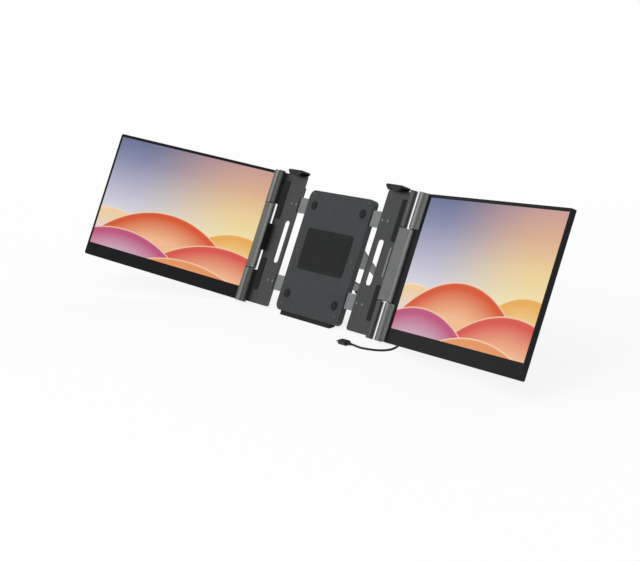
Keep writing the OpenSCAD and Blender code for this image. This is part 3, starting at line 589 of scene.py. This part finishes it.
# the lid's back face, which the pads touch
lid_back = 6
pad_thick = plate_front - lid_back
mat_half_wide, mat_low, mat_high, mat_corner, rib_pitch = 62, 62, 128, 6, 3
dot_out, dot_heights, dot_radius = 66, (20, 164), 7
# a shallow ring is moulded into each dot's face
ring_far, ring_near, ring_deep, dot_slope = 5.4, 4.4, 0.25, 0.2

mat = ribbed_mat("lid_mat", (-mat_half_wide, lid_back, mat_low),
                 (mat_half_wide, plate_front, mat_high), mat_corner, rib_pitch)
dot = turned("dot", [
    (0, pad_thick), (dot_radius, pad_thick), (dot_radius, dot_slope), (dot_radius - dot_slope, 0),
    (ring_far, 0), (ring_far - dot_slope, ring_deep), (ring_near + dot_slope, ring_deep),
    (ring_near, 0), (0, 0)], "Y", steps=40)
finish_mesh(dot, 25)
dots = repeated("lid_dots", dot, [Matrix.Translation((x, lid_back, z))
                                  for x in (-dot_out, dot_out) for z in dot_heights])
fasten(join("lid_mat", mat, dots), lid_frame(), "frame", silicone, "silicone", "lid_pad")

# ---------- Frame foot ----------
# A moulded rubber strip, pressed into the frame's lower edge. Its underside is cut so that it lies
# flat on the table while the frame leans back.

# moulded rubber: the dullest black on the object, with a fine tooth
rubber = grained("moulded_black_rubber", "151616", "1e1f1f", roughness=0.7, grit=0.8, relief=0.06,
                 patch=7)

foot_half_wide, foot_half_deep, foot_low, foot_high = 70, 4.5, -17, -8

foot = add_block("frame_foot_strip", (-foot_half_wide, foot_y - foot_half_deep, foot_low),
                 (foot_half_wide, foot_y + foot_half_deep, foot_high))
foot.data.transform(lid_frame())
select(foot, "polygons", lambda f: True)
bpy.ops.mesh.bisect(plane_co=(0, 0, 0), plane_no=(0, 0, 1), use_fill=True, clear_inner=True)
bpy.ops.object.mode_set(mode="OBJECT")
soften(foot, 0.5 * MM, 3)
fasten(foot, Matrix.Identity(4), "frame", rubber, "rubber_foot", "frame_foot")

# ---------- Kickstand ----------
# A pressed aluminium flap with a rolled upper edge, which turns on a steel pin between two ears of
# the frame. Its lower edge is dipped in rubber.

# brushed and anodised aluminium, dark grey: long fine lines run across the flap and stretch the
# highlights. The lines are drawn coarser than they are so that they show.
line_length, lines_per_mm, cloud_wide = 50, 1.4, 25
brushed_dark, tree = new_material("brushed_dark_anodised_aluminium")
place = add_node(tree, "ShaderNodeTexCoord").outputs["Object"]
lines = add_node(tree, "ShaderNodeMapping", {
    "Vector": place,
    "Scale": (1 / (line_length * MM), lines_per_mm / MM, lines_per_mm / MM)})
grain = add_node(tree, "ShaderNodeTexNoise", {"Vector": lines.outputs[0], "Scale": 1.0,
                                              "Detail": 3.0})
cloud = add_node(tree, "ShaderNodeTexNoise", {"Vector": place, "Scale": 1 / (cloud_wide * MM)})
both = add_node(tree, "ShaderNodeMath", {0: grain.outputs[0], 1: cloud.outputs[0]},
                operation="ADD")
tone = add_node(tree, "ShaderNodeValToRGB", {"Fac": both.outputs[0]},
                stops=[(0.3, "555757"), (0.9, "6a6c6c")])
bumps = add_node(tree, "ShaderNodeBump", {"Height": grain.outputs[0], "Strength": 0.3,
                                          "Distance": 0.03 * MM})
skin = add_node(tree, "ShaderNodeBsdfPrincipled", {
    "Base Color": tone.outputs[0], "Metallic": 1.0, "Roughness": 0.42, "Normal": bumps.outputs[0]})
add_node(tree, "ShaderNodeOutputMaterial", {"Surface": skin.outputs[0]})

softened("kickstand_flap", "kickstand", 0.4, brushed_dark)
softened("kickstand_foot_strip", "kickstand_foot", 0.3, rubber)

# ground steel: bright and even, with the faint rings that the grinding wheel leaves
ground_steel = grained("ground_steel", "8f9191", "b4b5b4", roughness=0.28, grit=0.9, relief=0.01,
                       patch=5, metallic=1.0)
softened("kickstand_axle", "kickstand_pin", 0.25, ground_steel)

# ---------- Side plates and slide bars ----------
# A die-cast aluminium plate stands behind each edge of the lid, with the hinge's inner barrels on
# it. Two flat steel bars are riveted into it and run in the frame, so that it slides out to the
# lid's width.

# die-cast and tumbled aluminium: darker and mottled, where the alloy froze unevenly in the mould
cast_metal = grained("die_cast_aluminium", "525452", "61625f", roughness=0.4, grit=0.8,
                     relief=0.05, patch=3.2, metallic=1.0)
# cold-drawn steel bar: smooth, greyer than the ground pins
drawn_steel = grained("cold_drawn_steel", "919393", "9fa1a0", roughness=0.33, grit=1.0,
                      relief=0.012, patch=9, metallic=1.0)

strip_near, strip_far, strip_corner = 153, 165, 3
strip_heights = ((12, 66), (132, 196))

for side in ("left", "right"):
    softened(side + "_side_plate_casting", side + "_side_plate", 0.25, cast_metal)
    softened(side + "_slide_bar_pair", side + "_slide_bars", 0.25, drawn_steel)
    strips = [ribbed_mat("strip", (strip_near, lid_back, low), (strip_far, plate_front, high),
                         strip_corner, rib_pitch) for low, high in strip_heights]
    fasten(join(side + "_plate_strips", *strips), lid_frame(side), side + "_carriage", silicone,
           "silicone", side + "_plate_pads")

# ---------- Side claws ----------
# A bent aluminium sheet on each side plate reaches round the lid's edge and grips its bezel over a
# silicone liner. Two screws hold its foot to the plate's back.

# bead-blasted and anodised aluminium: a soft silvery sheen over a fine frosted grit, with slight
# patches of tone from the bath. The grit is drawn coarser than it is so that it shows.
blasted_metal = grained("bead_blasted_anodised_aluminium", "7a7b79", "878886", roughness=0.4,
                        grit=0.6, relief=0.03, patch=7, metallic=1.0)

# the claw's foot is screwed on from behind, at these heights
claw_screw_out, claw_foot_back, claw_screw_heights = 160, 12.95, (86, 113)

for side in ("left", "right"):
    softened(side + "_claw_sheet", side + "_side_claw", 0.2, blasted_metal)
    softened(side + "_claw_liner", side + "_claw_pad", 0.15, silicone)
    screws = repeated(side + "_claw_screw_set",
                      pan_head_screw(head=2.8, head_tall=0.8, shank=1.5, length=4.25),
                      [Matrix.Translation((claw_screw_out, claw_foot_back, z))
                       for z in claw_screw_heights])
    fasten(screws, lid_frame(side), side + "_carriage", screw_zinc, "screws",
           side + "_claw_screws")

# ---------- Top hooks ----------
# A glass-filled nylon hook runs up and down in a guide on each side plate's back, and its head
# bends over the lid's top edge on a silicone liner.

# moulded glass-filled nylon, grey-green: satin, with pale flow marks from the fibres
nylon = grained("moulded_glass_filled_nylon", "181b19", "252925", roughness=0.42, grit=0.9,
                relief=0.05, patch=6, ior=1.53, shine=0.2)

for side in ("left", "right"):
    softened(side + "_hook_channel", side + "_hook_guide", 0.35, shell_abs)
    softened(side + "_hook_moulding", side + "_top_hook", 0.3, nylon)
    softened(side + "_hook_liner", side + "_hook_pad", 0.15, silicone)

# ---------- Hinges ----------
# Each monitor hangs on two steel pins with a cast arm between them, and steel washers at the arm's
# ends give the friction that holds it at any angle.

# the inner pin's place from the lid's middle and front
inner_pin_x, inner_pin_y = 179, 3
# the pins' heights, from their lower end to the top of the head
pin_low, head_low, head_high = -11.4, 208.45, 209.7
pin_radius, head_radius, socket_depth, socket_radius = 2.2, 3.4, 0.8, 1.45
# the slopes at the pin's lower end and the head's rim, and under the head
end_slope, under_slope = 0.3, 0.2

# oil-blackened spring steel: nearly black, with a soft gloss from the oil
blued_steel = grained("oil_blackened_spring_steel", "2c2e30", "3b3e40", roughness=0.35, grit=0.8,
                      relief=0.01, patch=3, metallic=1.0)


def add_rod(name, start, length, radius, axis, sides=32):
    """A rod from start along the axis X, Y or Z, in millimetres."""
    turn = {"X": (0, math.pi / 2, 0), "Y": (-math.pi / 2, 0, 0), "Z": (0, 0, 0)}[axis]
    step = {"X": Vector((1, 0, 0)), "Y": Vector((0, 1, 0)), "Z": Vector((0, 0, 1))}[axis]
    bpy.ops.object.select_all(action="DESELECT")
    bpy.ops.mesh.primitive_cylinder_add(vertices=sides, radius=radius, depth=length, rotation=turn,
                                        location=Vector(start) + step * length / 2)
    made = bpy.context.active_object
    made.name = made.data.name = name
    bpy.ops.object.transform_apply()
    return made


def hinge_pin(name):
    """A pin along Z with a flat head at its top and a hexagon socket in the head."""
    made = turned(name, [
        (0, pin_low), (pin_radius - end_slope, pin_low), (pin_radius, pin_low + end_slope),
        (pin_radius, head_low), (head_radius - under_slope, head_low),
        (head_radius, head_low + under_slope), (head_radius, head_high - end_slope),
        (head_radius - end_slope, head_high), (0, head_high)], "Z")
    carve(made, add_rod("socket", (0, 0, head_high - socket_depth), 2, socket_radius, "Z", sides=6))
    finish_mesh(made, 25)
    return made


for side in ("left", "right"):
    softened(side + "_hinge_arm", side + "_hinge_link", 0.35, blasted_metal)
    softened(side + "_friction_washers", side + "_hinge_washers", 0.1, blued_steel)
    fasten(hinge_pin(side + "_inner_pin"),
           lid_frame(side) @ Matrix.Translation((inner_pin_x, inner_pin_y, 0)), side + "_carriage",
           ground_steel, "steel", side + "_frame_pin")
    fasten(hinge_pin(side + "_outer_pin"), monitor_frame(side), side + "_monitor", ground_steel,
           "steel", side + "_monitor_pin")

# ---------- Monitor leaves ----------
# The barrels and plates that tie each monitor to its outer pin. They are anodised like the arms,
# and small screws from behind hold them to the rear cover.

leaf_screw_heights = (2, 31.7, 169.3, 198)
# place across, seat, head's height and length below the seat
leaf_screw_facts = {"left": (19, 12.35, 0.5, 3.4), "right": (14, 8.3, 0.8, 6.9)}

for side in ("left", "right"):
    for level in ("upper", "lower"):
        softened(side + "_" + level + "_barrel_leaf", side + "_" + level + "_leaf", 0.25,
                 blasted_metal)
    across, seat, head_tall, length = leaf_screw_facts[side]
    screws = repeated(side + "_leaf_screw_set",
                      pan_head_screw(head=2.1, head_tall=head_tall, shank=1.2, length=length),
                      [Matrix.Translation((across, seat, z)) for z in leaf_screw_heights])
    fasten(screws, monitor_frame(side), side + "_monitor", screw_zinc, "screws",
           side + "_leaf_screws")

# ---------- Monitor covers and bezels ----------
# A hollow black ABS back with a chamfered rim, and a thin bezel frame of smooth ABS pressed over
# the panel, wider below the picture than round it.

# where each panel starts, from its outer pin outwards and backwards
panel = {"left": (6.6, 4), "right": (19.2, 0.8)}
panel_wide, panel_low, panel_high = 353.2, -11, 209.3
lit_wide, lit_low, lit_high = 344.2, 10.9, 204.5
side_border, bezel_thick, bezel_corner = 4.5, 1, 3.5

# smooth moulded ABS, almost black: a satin skin with only faint unevenness
bezel_abs = grained("satin_black_abs", "151517", "1a1a1b", roughness=0.38, grit=1.0, relief=0.02,
                    patch=25, shine=0.11)

for side, (panel_x, panel_y) in panel.items():
    softened(side + "_monitor_back", side + "_rear_cover", 0.3, cover_abs)

    bezel = add_block(side + "_bezel_frame", (panel_x, panel_y, panel_low),
                      (panel_x + panel_wide, panel_y + bezel_thick, panel_high))
    round_edges(bezel, bezel_corner, 8, lambda e: along(bezel, e, 1))
    carve(bezel, add_block("window", (panel_x + side_border, panel_y - 1, lit_low),
                           (panel_x + side_border + lit_wide, panel_y + 2, lit_high)))
    soften(bezel, 0.3, 3)
    fasten(bezel, monitor_frame(side), side + "_monitor", bezel_abs, "bezel",
           side + "_front_bezel")

# ---------- Screens ----------
# A backlit liquid-crystal panel behind a matt anti-glare film. The picture on it is a plain blend
# from dusk blue to gold over a few broad overlapping discs.

picture_stops = {
    "left": [(0.30, "e3e0e8"), (0.62, "b3b2c8"), (0.82, "8a8fae"), (1.0, "6c7497")],
    "right": [(0.30, "f9ecb4"), (0.58, "f2d59c"), (0.80, "e2b494"), (1.0, "cda097")],
}
# the lit area's height as a share of its width
screen_shape = 9 / 16
# the shares of the width between which the left edge's colours turn into the right edge's
turn_from, turn_to = 0.12, 0.95
# the softness of a disc's edge, how far in its colour changes, and the pale line along the edge
edge_soft, fade_deep, edge_line = 0.002, 0.2, "ffe9c8"
# middle across and up and radius, in shares of the width, and the colours of rim and heart
discs = [
    (0.93, -0.22, 0.45, "efb25c", "f9e2a6"),
    (0.10, -0.36, 0.56, "f3d3a4", "e9dde0"),
    (0.46, -0.44, 0.68, "dc5a33", "f6bf92"),
    (0.86, -0.58, 0.73, "dd5a4e", "f6be96"),
    (0.20, -0.63, 0.74, "c2577f", "d6c0d0"),
    (0.66, -0.86, 0.90, "ea9a63", "eec3b4"),
]

lit_film, tree = new_material("backlit_panel_antiglare_film")
spot = add_node(tree, "ShaderNodeUVMap", uv_map="picture").outputs[0]
parts = add_node(tree, "ShaderNodeSeparateXYZ", {"Vector": spot})
height = add_node(tree, "ShaderNodeMath", {0: parts.outputs[1], 1: screen_shape},
                  operation="DIVIDE")
columns = [add_node(tree, "ShaderNodeValToRGB", {"Fac": height.outputs[0]},
                    stops=picture_stops[edge]).outputs[0] for edge in ("left", "right")]
drift = add_node(tree, "ShaderNodeMapRange", {0: parts.outputs[0], 1: turn_from, 2: turn_to},
                 interpolation_type="SMOOTHSTEP")
colour = add_node(tree, "ShaderNodeMix", {0: drift.outputs[0], 6: columns[0], 7: columns[1]},
                  data_type="RGBA").outputs[2]
for across, up, radius, rim, heart in discs:
    away = add_node(tree, "ShaderNodeVectorMath", {0: spot, 1: (across, up, 0)},
                    operation="DISTANCE").outputs["Value"]
    inside = add_node(tree, "ShaderNodeMapRange", {0: away, 1: radius + edge_soft,
                                                   2: radius - edge_soft})
    depth = add_node(tree, "ShaderNodeMapRange", {0: away, 1: radius, 2: radius - fade_deep})
    fill = add_node(tree, "ShaderNodeValToRGB", {"Fac": depth.outputs[0]},
                    stops=[(0.0, edge_line), (0.035, rim), (0.12, rim), (0.7, heart)])
    colour = add_node(tree, "ShaderNodeMix", {0: inside.outputs[0], 6: colour, 7: fill.outputs[0]},
                      data_type="RGBA").outputs[2]
film = add_node(tree, "ShaderNodeBsdfPrincipled", {
    "Base Color": linear("0c0c0d"), "Roughness": 0.38, "Specular IOR Level": 0.12,
    "Emission Color": colour, "Emission Strength": 0.92})
add_node(tree, "ShaderNodeOutputMaterial", {"Surface": film.outputs[0]})

# the panel's folded steel tray: pale and satin, seen only where a cover is open
tray_steel = grained("zinc_plated_sheet_steel", "8a8e90", "9ea2a3", roughness=0.35, grit=1.5,
                     relief=0.02, patch=12, metallic=1.0)
# glass-epoxy circuit board under green solder mask: glossy, with paler patches over the copper
solder_mask = grained("green_solder_masked_board", "1a4430", "2b6044", roughness=0.3, grit=1.6,
                      relief=0.03, patch=3)

# the pane's play in the bezel's window, and how far its face lies behind the bezel's
pane_gap, pane_sunk = 0.05, 0.3

for side, (panel_x, panel_y) in panel.items():
    near_edge = panel_x + side_border + pane_gap
    pane = add_block(side + "_picture_pane", (near_edge, panel_y + pane_sunk, lit_low + pane_gap),
                     (near_edge + lit_wide - 2 * pane_gap, panel_y + bezel_thick,
                      lit_high - pane_gap))
    soften(pane, 0.12)
    pane_uv = pane.data.uv_layers.new(name="picture")
    for loop in pane.data.loops:
        at = pane.data.vertices[loop.vertex_index].co
        outward = (at.x - near_edge) / lit_wide
        pane_uv.data[loop.index].uv = (outward if side == "right" else 1 - outward,
                                       (at.z - lit_low) / lit_wide)
    fasten(pane, monitor_frame(side), side + "_monitor", lit_film, "screen",
           side + "_screen_glass")
    dress(nodes[side + "_lcd_module"], tray_steel)
dress(nodes["left_driver_board"], solder_mask)

# ---------- Electronics housing ----------
# A vented ABS cover on the right monitor's back, over the control board. Two USB-C sockets and a
# mini video socket open through its inner end.

softened("electronics_housing", "electronics_cover", 0.3, cover_abs)
softened("socket_shells", "port_shells", 0.05, plug_plate)
dress(nodes["control_board"], solder_mask)

# ---------- Buttons ----------
# Three small moulded caps on the housing's outer end, dished for a fingertip, with a flange inside
# that keeps them in. A raised ring, plus and minus tell them apart.

# each button's height and its raised marks
buttons = (("power", 9, ("ring",)), ("plus", 21, ("bar", "post")), ("minus", 33, ("bar",)))
button_half_deep, button_half_tall = 1.5, 3
button_y = 12.3
cap_low, cap_high = 218.3, 220.9
cap_corner, cap_rim, cap_dish = 0.7, 0.45, 0.15
flange_thick, flange_rim = 0.6, 0.6
ring_radius, ring_thick, ring_sunk = 0.75, 0.12, 0.13
bar_reach, bar_half_wide, bar_root, bar_sunk = 0.9, 0.15, 0.3, 0.04

for name, button_z, marks in buttons:
    cap = add_block(name + "_cap",
                    (cap_low, button_y - button_half_deep, button_z - button_half_tall),
                    (cap_high, button_y + button_half_deep, button_z + button_half_tall))
    round_edges(cap, cap_corner, 5, lambda e: along(cap, e, 0))
    select(cap, "polygons", lambda f: f.normal.x > 0.99)
    bpy.ops.mesh.inset(thickness=cap_rim)
    bpy.ops.transform.translate(value=(-cap_dish, 0, 0))
    soften(cap, 0.12, 3, angle=50)
    flange = add_block("flange", (cap_low - flange_thick, button_y - button_half_deep - flange_rim,
                                  button_z - button_half_tall - flange_rim),
                       (cap_low, button_y + button_half_deep + flange_rim,
                        button_z + button_half_tall + flange_rim))
    soften(flange, 0.1)
    shells = [cap, flange]
    for mark in marks:
        if mark == "ring":
            bpy.ops.object.select_all(action="DESELECT")
            bpy.ops.mesh.primitive_torus_add(major_radius=ring_radius, minor_radius=ring_thick,
                                             major_segments=24, minor_segments=8,
                                             rotation=(0, math.pi / 2, 0),
                                             location=(cap_high - ring_sunk, button_y, button_z))
            bpy.ops.object.transform_apply()
            shells.append(bpy.context.active_object)
        else:
            deep, tall = bar_reach, bar_half_wide
            if mark == "post":
                deep, tall = tall, deep
            raised = add_block(mark, (cap_high - bar_root, button_y - deep, button_z - tall),
                               (cap_high - bar_sunk, button_y + deep, button_z + tall))
            soften(raised, 0.05)
            shells.append(raised)
    fasten(join(name + "_cap", *shells), monitor_frame("right"), name + "_button", bezel_abs,
           "button", name + "_button")
